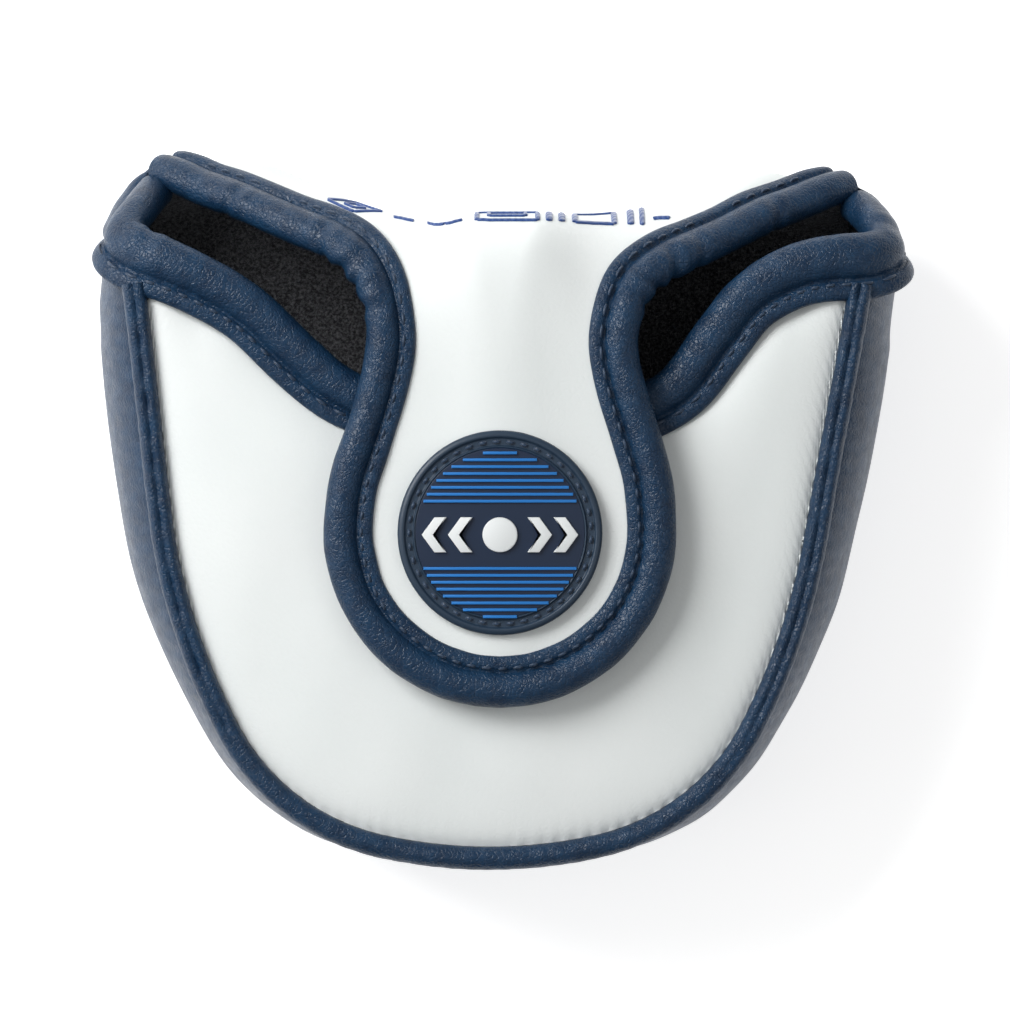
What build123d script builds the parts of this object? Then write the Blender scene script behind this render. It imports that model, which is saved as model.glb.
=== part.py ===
from build123d import *
import os
from math import cos, radians, sin, sqrt

# Head cover for a mallet putter, lying on its back panel: +Z out of the front, +Y towards the mouth.
# Origin: middle of the outline, on the outside of the back panel. All sizes in millimetres.

# Sheet materials, outside to inside
LEATHER = 1.2
FOAM = 1.6
FLEECE = 1.6
WALL = LEATHER + FOAM + FLEECE
LAYERS = {"panel": (0.0, LEATHER), "foam": (LEATHER, LEATHER + FOAM), "lining": (LEATHER + FOAM, WALL)}

# Pouch: each U is (turn radius, turn in degrees) from the bottom centre up one side
DEPTH = 42.0
BODY_BOTTOM = -64.3
BODY_ARCS = ((112.0, 12.7), (35.0, 39.8), (114.0, 30.2))
PANEL_BOTTOM = -60.4
PANEL_ARCS = ((86.0, 13.0), (38.8, 49.6), (116.0, 19.1))
SIDE_TOP = 43.5
GUSSET_LINING = 2.2
GUSSET_BULGE = 4.4
GUSSET_EDGE = 4.2
BACK_INSET = 0.5
BACK_INNER_INSET = 4.0
BACK_TOP = 36.0
FRONT_TOP = 60.0
FOAM_INSET = 1.0
LINING_INSET = 4.0
PIPING_RADIUS = 2.0
PIPING_SINK = 1.3
PIPING_GAP = 0.3
PIPING_TOP = 36.5

# Padded collar along the front edge of the mouth: (radius or length, turn) from its lowest point
COLLAR_Y = 17.3
COLLAR_RUN = ((110.0, 13.0), (25.0, 33.0), (8.0, 0.0), (50.0, -16.0), (15.5, 0.0))
COLLAR_RADIUS = 3.7
COLLAR_CORE = 2.6
COLLAR_Z = DEPTH - 3.5
COLLAR_GAP = 0.2
FLANGE_WIDTH = 2.6
FLANGE_THICK = 0.4
SEAM_OFFSET = 1.2

# Folded ends of the side band at the mouth's corners: outline in Y and Z, and the line of the binding
GORE_X = 68.0
GORE_HALF = 1.4
GORE_OUTLINE = ((44.0, 5.0), (44.0, 34.0), (49.0, 34.0), (58.0, 21.0), (58.0, 12.0), (52.0, 5.0))
GORE_RUN = ((68.0, 52.8, 34.0), (67.4, 58.0, 27.0), (66.4, 60.4, 20.0))
GORE_ROLL = 2.4

# Fold of the back over the mouth
BEND_RADIUS = 11.0
BEND_Y = 41.5
CREST_Y = BEND_Y + BEND_RADIUS
CREST_PLAN_RADIUS = 185.0
FLAP_TOP = 47.6
BEND_REACH = 60.0
UPPER_BEND_START = 120.0
CREST_HALF_ANGLE = 17.0
NECK_HALF_ANGLE = 15.0
NECK_LOW = 8.5
NECK_HIGH = FLAP_TOP - NECK_LOW
NECK_OUTLINE = ((0, NECK_LOW), (14, NECK_LOW), (26, 15), (47, 23.4), (24, NECK_HIGH))
SHOULDER_HIGH = 24.0
SHOULDER_OUTLINE = ((25.0, 2.0), (25.0, 9.0), (53.0, 20.0), (57.0, 20.0), (57.0, 2.0))
WINDOW_REACH = 90.0

# Centre line of the crest's padded edge, right side: up the shoulder and along the neck
SHOULDER_ARM = ((62.5, 61.1, 20.6), (58.0, 60.8, 23.6), (54.0, 59.6, 26.0))
NECK_ARM = ((49.0, 57.7, 29.0), (43.2, 55.0, 32.2), (35.0, 51.0, 37.0),
            (29.5, 47.8, 40.2), (25.7, 44.6, 42.7))

# Flap: (radius or length, turn) of its padded edge from the bottom centre
FLAP_BOTTOM = -32.3
FLAP_RUN = ((28.6, 90.0), (60.0, 16.0), (12.0, 0.0), (30.0, -21.0))
FLAP_ROLL = 3.3
FLAP_CORE = 2.2
FLAP_ROLL_Z = 46.1
FLAP_INSET = 3.4
FLAP_ROLL_TOP = 40.0
FLAP_SEAM_TOP = 38.0

# Rubber patch and the magnets under it
PATCH_Y = -4.0
PATCH_RADIUS = 18.4
PATCH_BASE = 1.7
PATCH_DISC_RADIUS = 15.7
PATCH_GROOVE = (15.7, 16.9, 0.5)
PATCH_STEP = 0.4
BAR_FIRST = 6.04
BAR_PITCH = 1.235
BAR_COUNT = 8
BAR_WIDTH = 0.55
BAR_CLIP = 15.0
MOTIF_BALL = 2.5
CHEVRON_X = (5.2, 8.2)
CHEVRON = ((0, 2.6), (1.3, 2.6), (3.5, 0), (1.3, -2.6), (0, -2.6), (2.2, 0))
MAGNET_RADIUS = 7.0
MAGNET_THICK = 1.4
MAGNET_GAP = 0.2

# Embroidered diamonds on the neck: middles, half width and half height outside and inside
DIAMOND_X = (-20, -10, 0, 10, 20)
DIAMOND_Z = 26.0
DIAMOND_OUTER, DIAMOND_INNER = 4.0, 2.8
THREAD_RISE = 0.4
THREAD_BAND = (20.0, 32.0, 9.0)

# Stitching
STITCH_PITCH = 3.2
PATCH_PITCH = 3.05
STITCH = (2.3, 0.6, 0.4)

UP = Vector(0, 0, 1)


def chain(start, heading_deg, pieces, shift=0.0):
    """Tangent arcs and lines; a shift moves the whole run to the right of its direction."""
    heading = Vector(1, 0).rotate(Axis.Z, heading_deg)
    point = Vector(*start) + heading.cross(UP) * shift
    edges = []
    for size, turn in pieces:
        if turn:
            radius = size + (shift if turn > 0 else -shift)
            edge = JernArc(point, heading, radius, turn)
        else:
            edge = Line(point, point + heading * size)
        edges.append(edge)
        point, heading = edge @ 1, edge % 1
    return edges


def up_to(edges, top):
    """The same run, carried straight on to the height `top`."""
    end, heading = edges[-1] @ 1, edges[-1] % 1
    return edges + [Line(end, end + heading * ((top - end.Y) / heading.Y))]


def both_sides(edges):
    """A half outline and its mirror image, as one list in order from left to right."""
    return [edge.mirror(Plane.YZ) for edge in reversed(edges)] + list(edges)


def outline(edges):
    return Wire(both_sides(edges))


def body_u(inset, top=SIDE_TOP):
    return up_to(chain((0, BODY_BOTTOM), 0, BODY_ARCS, -inset), top)


def panel_u(inset, top=SIDE_TOP):
    return up_to(chain((0, PANEL_BOTTOM), 0, PANEL_ARCS, -inset), top)


def tube(path, radius, hole=0.0):
    """Round roll along a path, solid or with a round core left out."""
    end_plane = Plane(origin=path @ 0, z_dir=path % 0)
    section = end_plane * Circle(radius)
    if hole:
        section -= end_plane * Circle(hole)
    return sweep(section, path=path)


def slab(face, low, high):
    return Pos(0, 0, low) * extrude(face, high - low, dir=(0, 0, 1))


def stitch_row(path, pitch, z):
    """Short thread blocks at an even pitch along a path."""
    count = round(path.length / pitch)
    spots = [(step + 0.5) / count for step in range(count)]
    block = Box(*STITCH)
    return [Plane(origin=(path @ s) + UP * z, x_dir=path % s, z_dir=UP) * block for s in spots]


# ---------------------------------------------------------------- back, neck and flap sheets

def ring_sector(outer, inner, first, last):
    """Part of a ring about the bend's centre line, angles in degrees from straight back."""
    def arm(radius, angle):
        return (radius * sin(radians(angle)), -radius * cos(radians(angle)))
    middle = (first + last) / 2
    with BuildSketch(Plane.YZ) as sketch:
        with BuildLine():
            ThreePointArc(arm(outer, first), arm(outer, middle), arm(outer, last))
            Line(arm(outer, last), arm(inner, last))
            ThreePointArc(arm(inner, last), arm(inner, middle), arm(inner, first))
            Line(arm(inner, first), arm(outer, first))
        make_face()
    return sketch.sketch


def swing(section, y, z, half_angle):
    """A section of the crest swung about the upright axis that gives the crest its plan curve."""
    axis = Axis((0, CREST_Y + CREST_PLAN_RADIUS, 0), (0, 0, 1))
    placed = Rot(0, 0, -half_angle) * (Pos(0, y - axis.position.Y, z) * section)
    return revolve(Pos(0, axis.position.Y, 0) * placed, axis, 2 * half_angle)


def crest_wall(near, far, low, high, half_angle):
    """Upright part of the crest between two depths below the leather's face."""
    with BuildSketch(Plane.YZ) as sketch:
        with Locations((-(near + far) / 2, (low + high) / 2)):
            Rectangle(far - near, high - low)
    return swing(sketch.sketch, CREST_Y, 0, half_angle)


def xz_window(points):
    """Prism along Y over a half outline drawn in X and Z, mirrored to both sides."""
    loop = [*points, *((-x, z) for x, z in reversed(points))]
    return extrude(Plane.XZ * make_face(Polyline(*loop, close=True)), -WINDOW_REACH)


def back_sheet(near, far):
    """Flat back, its turned-up rim and the two shoulders, as one sheet of the given depth."""
    edge = CREST_PLAN_RADIUS + BEND_RADIUS
    reach = edge * sin(radians(CREST_HALF_ANGLE))
    edge_y = CREST_Y + CREST_PLAN_RADIUS - edge * cos(radians(CREST_HALF_ANGLE))
    sides = panel_u(BACK_INNER_INSET if near else BACK_INSET, BACK_TOP)
    corner = Line(sides[-1] @ 1, (reach, edge_y))
    rim = ThreePointArc((reach, edge_y), (0, BEND_Y), (-reach, edge_y))
    flat = slab(Face(Wire(both_sides(sides + [corner]) + [rim])), near, far)
    turned = swing(ring_sector(BEND_RADIUS - near, BEND_RADIUS - far, 0, BEND_REACH),
                   BEND_Y, BEND_RADIUS, CREST_HALF_ANGLE)
    return flat + turned + back_shoulders(near, far)


def back_shoulders(near, far):
    """Upright ends of the crest that stay with the pouch, beside the bending neck."""
    bend = swing(ring_sector(BEND_RADIUS - near, BEND_RADIUS - far, BEND_REACH, 90),
                 BEND_Y, BEND_RADIUS, CREST_HALF_ANGLE)
    wall = crest_wall(near, far, BEND_RADIUS, SHOULDER_HIGH, CREST_HALF_ANGLE)
    face = Plane.XZ * make_face(Polyline(*SHOULDER_OUTLINE, close=True))
    window = extrude(face, -WINDOW_REACH)
    return (bend + wall) & (window + window.mirror(Plane.YZ))


def neck_sheet(near, far):
    """Upright sheet of the neck between its two bends."""
    return crest_wall(near, far, NECK_LOW, NECK_HIGH, NECK_HALF_ANGLE) & xz_window(NECK_OUTLINE)


def flap_face(inset):
    """Tongue of the flap inside its padded edge, ending square at the bend."""
    edges = up_to(chain((0, FLAP_BOTTOM), 0, FLAP_RUN, -inset), BEND_Y)
    end = edges[-1] @ 1
    return Face(Wire(both_sides(edges) + [Line(end, (-end.X, end.Y))])), end.X


def flap_sheet(near, far, inset=FLAP_INSET):
    """Flat tongue and the upper bend that joins it to the neck."""
    face, half_width = flap_face(inset)
    flat = slab(face, FLAP_TOP - far, FLAP_TOP - near)
    sector = ring_sector(BEND_RADIUS - near, BEND_RADIUS - far, UPPER_BEND_START, 180)
    bend = Pos(0, BEND_Y, FLAP_TOP - BEND_RADIUS) * sector
    bend = extrude(bend, half_width, both=True)
    return flat + bend


# ---------------------------------------------------------------- pouch

def above_collar(shift):
    """Everything towards the mouth from a line beside the collar, as a wide prism."""
    edges = chain((0, COLLAR_Y), 0, COLLAR_RUN, shift)
    tip, margin = edges[-1] @ 1, 20.0
    out, far = Vector(tip.X + margin, tip.Y), Vector(tip.X + margin, tip.Y + 2 * margin)
    rim = both_sides(edges + [Line(tip, out), Line(out, far)]) + [Line(far, (-far.X, far.Y))]
    return slab(Face(Wire(rim)), 0, 2 * DEPTH)


def front_plate(inset, low, high):
    """Layer of the front, from the U up to the underside of the collar."""
    sides = panel_u(inset, FRONT_TOP)
    end = sides[-1] @ 1
    plate = slab(Face(Wire(both_sides(sides) + [Line(end, (-end.X, end.Y))])), low, high)
    return plate - above_collar(COLLAR_RADIUS + COLLAR_GAP)


def gusset_band(near, far):
    """Side band of the pouch: a bulged strip carried round the U."""
    low, high = GUSSET_EDGE, DEPTH - PIPING_SINK - PIPING_RADIUS - PIPING_GAP
    middle, edge = (low + high) / 2, -GUSSET_BULGE
    with BuildSketch(Plane(origin=(0, BODY_BOTTOM, 0), x_dir=(0, 0, 1), z_dir=(1, 0, 0))) as sketch:
        with BuildLine():
            ThreePointArc((low, edge - near), (middle, -near), (high, edge - near))
            Line((high, edge - near), (high, edge - far))
            ThreePointArc((high, edge - far), (middle, -far), (low, edge - far))
            Line((low, edge - far), (low, edge - near))
        make_face()
    half = sweep(sketch.sketch, path=Wire(body_u(0.0)))
    return half + half.mirror(Plane.YZ)


def piping(z, radius, top):
    path = outline(panel_u(-PIPING_RADIUS, top))
    return Pos(0, 0, z) * tube(path, radius)


def collar_path():
    return Pos(0, 0, COLLAR_Z) * outline(chain((0, COLLAR_Y), 0, COLLAR_RUN))


def strip(run_start, run, outer, inner, low, high):
    """Flat strip between two shifts of one run, on both sides."""
    out, ins = chain(run_start, 0, run, outer), chain(run_start, 0, run, inner)
    end = Line(out[-1] @ 1, ins[-1] @ 1)
    return slab(Face(Wire(both_sides(out + [end]) + both_sides(ins))), low, high)


def gore(side):
    """Folded end of the side band, closing the corner of the mouth."""
    face = Plane.YZ * make_face(Polyline(*GORE_OUTLINE, close=True))
    return Pos(side * GORE_X, 0, 0) * extrude(face, GORE_HALF, both=True)


def gore_binding(side):
    run = Polyline(*((side * x, y, z) for x, y, z in GORE_RUN))
    return tube(Wire(run.edges()), GORE_ROLL)


# ---------------------------------------------------------------- padded edge of the crest

def arm(side, points, radius):
    """One stretch of the padded edge; side -1 is the left."""
    return tube(Wire(Spline(*[(side * x, y, z) for x, y, z in points]).edges()), radius)


# ---------------------------------------------------------------- flap

def flap_roll_path():
    edges = up_to(chain((0, FLAP_BOTTOM), 0, FLAP_RUN), FLAP_ROLL_TOP)
    return Pos(0, 0, FLAP_ROLL_Z) * outline(edges)


def with_pocket(sheet, low, high):
    return sheet - Pos(0, PATCH_Y, (low + high) / 2) * Cylinder(MAGNET_RADIUS + MAGNET_GAP, high - low)


def magnet(z):
    return Pos(0, PATCH_Y, z) * Cylinder(MAGNET_RADIUS, MAGNET_THICK)


def patch_disc(radius, low, high):
    return Pos(0, PATCH_Y, (low + high) / 2) * Cylinder(radius, high - low)


def patch_base():
    inner, outer, depth = PATCH_GROOVE
    top = FLAP_TOP + PATCH_BASE
    plug = patch_disc(inner, top - 2 * depth, top + 2 * depth)
    groove = patch_disc(outer, top - depth, top + depth) - plug
    return patch_disc(PATCH_RADIUS, FLAP_TOP, top) - groove


def patch_bars(z):
    """Thin raised lines above and below the middle band, each cut to the round disc."""
    bars = []
    for index in range(BAR_COUNT):
        y = BAR_FIRST + index * BAR_PITCH
        length = 2 * sqrt(BAR_CLIP ** 2 - y ** 2)
        for side in (-1, 1):
            bars.append(Pos(0, PATCH_Y + side * y, z) * Box(length, BAR_WIDTH, PATCH_STEP))
    return bars


def patch_motif(low, high):
    """Raised ball between pairs of chevrons."""
    shapes = [patch_disc(MOTIF_BALL, low, high)]
    for x in CHEVRON_X:
        chevron = slab(make_face(Polyline(*CHEVRON, close=True)), low, high)
        chevron = Pos(x, PATCH_Y, 0) * chevron
        shapes += [chevron, chevron.mirror(Plane.YZ)]
    return shapes


def crest_embroidery():
    """Raised thread outlines of diamonds across the neck."""
    thread = crest_wall(-THREAD_RISE, 0.0, *THREAD_BAND)
    figures = [diamond(x, DIAMOND_OUTER) - diamond(x, DIAMOND_INNER) for x in DIAMOND_X]
    return [thread & extrude(Plane.XZ * figure, -WINDOW_REACH) for figure in figures]


def diamond(x, half):
    corners = ((x - half, DIAMOND_Z), (x, DIAMOND_Z + half), (x + half, DIAMOND_Z), (x, DIAMOND_Z - half))
    return make_face(Polyline(*corners, close=True))


def write(name, shape):
    solids = shape if isinstance(shape, list) else [shape]
    flat = [solid for item in solids for solid in item.solids()]
    export_step(flat[0] if len(flat) == 1 else Compound(children=flat), f"parts/{name}.step")


def main():
    os.makedirs("parts", exist_ok=True)
    pouch()
    neck()
    flap()


def pouch():
    for layer, (near, far) in LAYERS.items():
        write(f"back_{layer}", back_sheet(near, far))
    write("gusset", gusset_band(0.0, LEATHER))
    write("gusset_lining", gusset_band(LEATHER, LEATHER + GUSSET_LINING))
    write("front_panel", front_plate(0.0, DEPTH - LEATHER, DEPTH))
    foam_low = DEPTH - LEATHER - FOAM
    foam = front_plate(FOAM_INSET, foam_low, DEPTH - LEATHER)
    write("front_foam", with_pocket(foam, foam_low, DEPTH - LEATHER))
    write("front_lining", front_plate(LINING_INSET, DEPTH - WALL, foam_low))
    write("keeper_magnet", magnet(DEPTH - LEATHER - FOAM / 2))
    write("front_piping", piping(DEPTH - PIPING_SINK, PIPING_RADIUS, PIPING_TOP))
    write("back_piping", piping(PIPING_RADIUS, PIPING_RADIUS - 0.1, SIDE_TOP))
    write("mouth_collar", tube(collar_path(), COLLAR_RADIUS, COLLAR_CORE))
    write("collar_core", tube(collar_path(), COLLAR_CORE))
    write("collar_flange", strip((0, COLLAR_Y), COLLAR_RUN, COLLAR_RADIUS + FLANGE_WIDTH, FLANGE_WIDTH,
                                 DEPTH, DEPTH + FLANGE_THICK))
    seam = Pos(0, 0, DEPTH + FLANGE_THICK) * outline(
        chain((0, COLLAR_Y), 0, COLLAR_RUN, COLLAR_RADIUS + SEAM_OFFSET))
    write("collar_stitches", stitch_row(seam, STITCH_PITCH, STITCH[2] / 2))
    for side, name in ((-1, "left"), (1, "right")):
        write(f"corner_gore_{name}", gore(side))
        write(f"corner_binding_{name}", gore_binding(side))
        write(f"shoulder_binding_{name}", arm(side, SHOULDER_ARM, FLAP_ROLL))


def neck():
    for layer, (near, far) in LAYERS.items():
        write(f"neck_{layer}", neck_sheet(near, far))
    write("neck_embroidery", crest_embroidery())
    for side, name in ((-1, "left"), (1, "right")):
        write(f"neck_binding_{name}", arm(side, NECK_ARM, FLAP_ROLL))


def flap():
    write("flap_panel", flap_sheet(*LAYERS["panel"]))
    foam_high, foam_low = FLAP_TOP - LEATHER, FLAP_TOP - LEATHER - FOAM
    write("flap_foam", with_pocket(flap_sheet(*LAYERS["foam"]), foam_low, foam_high))
    write("flap_lining", flap_sheet(*LAYERS["lining"]))
    write("flap_magnet", magnet((foam_low + foam_high) / 2))
    write("flap_binding", tube(flap_roll_path(), FLAP_ROLL, FLAP_CORE))
    write("flap_core", tube(flap_roll_path(), FLAP_CORE))
    top = FLAP_TOP + PATCH_BASE
    write("patch_base", patch_base())
    write("patch_disc", patch_disc(PATCH_DISC_RADIUS - 0.1, top, top + PATCH_STEP))
    write("patch_bars", patch_bars(top + 1.5 * PATCH_STEP))
    write("patch_motif", patch_motif(top + PATCH_STEP, top + 2.5 * PATCH_STEP))
    ring = Wire([Edge.make_circle(sum(PATCH_GROOVE[:2]) / 2, Plane(origin=(0, PATCH_Y, 0)))])
    write("patch_stitches", stitch_row(ring, PATCH_PITCH, top - PATCH_GROOVE[2] + STITCH[2] / 2))
    inner = chain((0, FLAP_BOTTOM), 0, FLAP_RUN, -FLAP_INSET - SEAM_OFFSET)
    seam = Pos(0, 0, FLAP_TOP) * outline(up_to(inner, FLAP_SEAM_TOP))
    write("flap_stitches", stitch_row(seam, STITCH_PITCH, STITCH[2] / 2))


main()
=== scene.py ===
import math

import bpy
import numpy as np
from bpy.props import FloatProperty, PointerProperty
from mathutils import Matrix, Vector


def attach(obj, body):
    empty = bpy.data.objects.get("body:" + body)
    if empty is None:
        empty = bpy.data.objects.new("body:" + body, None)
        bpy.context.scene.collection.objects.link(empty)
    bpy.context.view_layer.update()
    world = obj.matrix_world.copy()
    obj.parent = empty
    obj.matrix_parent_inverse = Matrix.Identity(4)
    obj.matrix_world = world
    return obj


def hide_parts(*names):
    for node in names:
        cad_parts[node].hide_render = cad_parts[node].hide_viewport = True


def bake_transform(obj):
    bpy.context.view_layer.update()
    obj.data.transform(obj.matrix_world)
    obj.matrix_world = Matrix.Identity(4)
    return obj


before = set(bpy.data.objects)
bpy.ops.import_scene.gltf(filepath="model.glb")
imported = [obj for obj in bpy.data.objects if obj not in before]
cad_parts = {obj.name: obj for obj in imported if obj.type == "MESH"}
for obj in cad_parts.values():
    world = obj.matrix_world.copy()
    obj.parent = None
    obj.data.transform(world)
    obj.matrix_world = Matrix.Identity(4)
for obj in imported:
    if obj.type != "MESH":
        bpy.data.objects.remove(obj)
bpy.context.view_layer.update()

bl_info = {
    "name": "Putter Head Cover",
    "version": (1, 0, 0),
    "blender": (4, 5, 0),
    "location": "3D View > Sidebar > Head Cover",
    "description": "Builds a padded leather head cover for a mallet putter around its working frame",
    "category": "Object",
}

# Lengths are in millimetres up to the moment that a mesh is written.
MM = 0.001
UP = np.array([0.0, 0.0, 1.0])
DOWN = -UP

# ------------------------------------------------------------------ the pattern of the cover
# U of the panels: (turn radius, turn in degrees) from the bottom centre up one side
PANEL_BOTTOM = -60.8
PANEL_ARCS = ((86.0, 13.0), (38.8, 49.6), (116.0, 19.1))
FRONT_Z = 42.2
# How far the side band swells, by distance from the bottom of the U to a corner, both as shares
SWELL = ((0.0, 0.22), (0.12, 0.36), (0.22, 0.55), (0.34, 0.70), (0.48, 0.92), (0.64, 1.13), (0.82, 1.13),
         (0.92, 0.85), (1.0, 0.3))
PIPING_Z = 40.4
# The sewn pouch is a little wider than its pattern, and its lower half leans to one side
WIDEN, LEAN = 1.008, -1.9

# The cover sheet is one surface: it runs from the back over the crest into the flap. Each row joins a
# left and a right edge point and has its own middle point (y, z) on the centre line.
RIM_ROWS = (
    ((-63.6, 36.0, 0.8), (62.0, 36.0, 0.8), (36.0, 0.2)),
    ((-64.5, 44.0, 1.7), (63.4, 43.0, 1.7), (41.8, 0.3)),
    ((-65.2, 52.0, 4.8), (64.8, 50.4, 4.8), (47.4, 1.4)),
    ((-65.2, 58.4, 10.0), (65.2, 55.8, 10.0), (51.3, 4.6)),
    ((-64.2, 61.4, 16.0), (64.9, 58.4, 16.0), (53.4, 9.2)),
)
CREST_ROWS = (
    ((-61.8, 62.6, 20.8), (62.8, 59.6, 20.9), (54.0, 13.5)),
    ((-55.6, 59.7, 24.6), (55.4, 56.7, 25.2), (54.1, 18.2)),
    ((-49.5, 57.3, 28.4), (48.2, 53.8, 29.4), (54.1, 22.8)),
    ((-43.1, 54.5, 32.2), (42.0, 50.6, 33.1), (54.1, 27.4)),
    ((-37.2, 51.8, 35.7), (35.9, 47.7, 36.8), (54.1, 32.0)),
    ((-31.3, 49.4, 39.0), (30.5, 45.1, 40.1), (53.7, 36.4)),
    ((-26.9, 46.5, 41.8), (26.0, 42.0, 42.6), (52.3, 40.8)),
    ((-23.7, 42.5, 43.7), (23.5, 38.2, 44.4), (49.3, 44.7)),
    ((-21.7, 37.6, 45.1), (22.2, 34.2, 45.4), (44.8, 47.3)),
)
NECK_ROWS = (
    ((-20.9, 32.0, 45.8), (21.7, 29.6, 45.9), (37.6, 48.3)),
    ((-21.5, 26.0, 46.0), (22.5, 24.4, 46.0), (30.0, 48.5)),
    ((-23.2, 19.0, 46.0), (24.2, 18.4, 46.0), (21.8, 48.4)),
    ((-25.5, 12.0, 46.0), (26.2, 12.0, 46.0), (13.2, 48.2)),
    ((-27.7, 4.8, 46.0), (28.0, 4.8, 46.0), (5.2, 48.0)),
)
DISC_CENTRE = -3.6
DISC_RADIUS = 28.6
DISC_Z = 46.0
DISC_STEPS = 9
SPLIT_ROW = 3.5
# Rows that count as near a pole, and the product of the widths of their first and last row below which
# they are taken to run into one
POLE_ROWS = 8
POLE_WIDTHS = 60.0
LEATHER_LIFT = 0.8
LAYER_GAP = 0.02

# Padded edge of the mouth, from the middle of the front out to each corner and round it:
# x, y, z, half width
MOUTH_LEFT = (
    (0.0, 16.8, 39.2, 3.7), (-13.0, 17.4, 39.2, 3.7), (-24.0, 20.2, 39.3, 3.7), (-28.8, 22.4, 39.3, 3.7),
    (-33.0, 25.6, 39.4, 3.72), (-38.9, 31.1, 39.6, 3.75), (-44.7, 36.6, 39.7, 3.8),
    (-50.3, 40.3, 39.8, 3.85), (-55.5, 43.0, 39.8, 3.95), (-61.2, 45.5, 39.3, 4.15),
    (-65.4, 47.3, 37.8, 4.3), (-68.2, 49.7, 34.8, 4.1), (-66.9, 53.2, 30.6, 3.8),
    (-64.8, 56.4, 26.0, 3.4), (-63.2, 58.8, 21.6, 3.0),
)
MOUTH_RIGHT = (
    (0.0, 16.8, 39.2, 3.7), (13.0, 17.1, 39.2, 3.7), (22.5, 18.2, 39.3, 3.7), (28.0, 20.2, 39.3, 3.7),
    (32.3, 23.2, 39.4, 3.72), (36.4, 28.6, 39.6, 3.75), (40.2, 33.8, 39.7, 3.8), (43.8, 38.2, 39.8, 3.85),
    (47.6, 41.2, 39.8, 3.95), (54.3, 44.4, 39.8, 4.1), (61.4, 45.7, 39.4, 4.3), (66.8, 46.2, 38.0, 4.3),
    (69.8, 47.6, 35.0, 4.1), (69.4, 50.6, 30.6, 3.8), (67.6, 53.6, 25.8, 3.4), (65.4, 56.0, 21.2, 3.0),
)

# Seams: pitch, length and radius of a stitch, its height over the roll's middle, and how far it lies
# from it in half widths of the roll
STITCH_PITCH = 3.2
STITCH_LENGTH = 2.3
STITCH_RADIUS = 0.25
SEAM_UP = 2.12
SEAM_ACROSS = -1.15
ROLL_HALF_WIDTH = 3.3
MOUTH_ROLL_HEIGHT = 3.3

# Moulded patch: radii of the base, of the field and of its seam; the bars and the mark over them
PATCH_Y = -4.0
FIELD_SHIFT = -0.36
PATCH_RADIUS = 18.4
FIELD_RADIUS = 15.2
BAR_REACH = 15.0
PATCH_SEAM_RADIUS = 16.35
BARS_PER_SIDE = 8
BAR_START = 6.04
BAR_PITCH = 1.235
BAR_HALF_WIDTH = 0.27

# Studio: (name, place, size, share of the main light's power), then the camera
LIGHTS = (
    ("key", (-0.46, 0.34, 0.50), 0.40, 1.0),
    ("fill", (0.55, -0.15, 0.85), 0.8, 0.30),
    ("rim", (-0.6, -0.1, 0.3), 0.4, 0.10),
)
SENSOR_MM = 36.0
LENS_MM = 228.7
CAMERA_PLACE = (0.0009, 0.00099, 1.2)


# ------------------------------------------------------------------ arrays and curves

def smoothstep(x):
    """Rises from 0 to 1 as 3x2 - 2x3."""
    x = np.clip(x, 0.0, 1.0)
    return x * x * (3.0 - 2.0 * x)


def unit(v):
    """Vectors over their own lengths."""
    return v / np.maximum(np.linalg.norm(v, axis=-1, keepdims=True), 1e-9)


def cubic(knots, places, at):
    """Natural cubic through the knots at the given places, read at `at`."""
    k, t = np.asarray(knots, float), np.asarray(places, float)
    h, n = np.diff(t), len(t)
    system, known = np.eye(n), np.zeros_like(k)
    row = np.arange(1, n - 1)
    system[row, row - 1], system[row, row], system[row, row + 1] = h[:-1], 2 * (h[:-1] + h[1:]), h[1:]
    known[1:-1] = 6 * np.diff(np.diff(k, axis=0) / h[:, None], axis=0)
    bend = np.linalg.solve(system, known)
    i = np.clip(np.searchsorted(t, at, side="right") - 1, 0, n - 2)
    a, b = (t[i + 1] - at) / h[i], (at - t[i]) / h[i]
    pull = ((a ** 3 - a) * h[i] ** 2 / 6)[:, None] * bend[i]
    pull = pull + ((b ** 3 - b) * h[i] ** 2 / 6)[:, None] * bend[i + 1]
    return a[:, None] * k[i] + b[:, None] * k[i + 1] + pull


def chord_places(points):
    """Distance of each point from the first, added up along the straight steps between them."""
    steps = np.linalg.norm(np.diff(np.asarray(points, float)[:, :3], axis=0), axis=1)
    return np.r_[0.0, np.cumsum(steps)]


def even(points, count):
    """The same polyline with its points at even distances."""
    place = chord_places(points)
    at = np.linspace(0, place[-1], count)
    return np.stack([np.interp(at, place, column) for column in np.asarray(points, float).T], axis=1)


def smooth_curve(knots, count):
    """Natural cubic through given knots, evenly spaced; extra columns ride along."""
    place = chord_places(knots)
    return even(cubic(knots, place, np.linspace(0, place[-1], 12 * count)), count)


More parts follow.
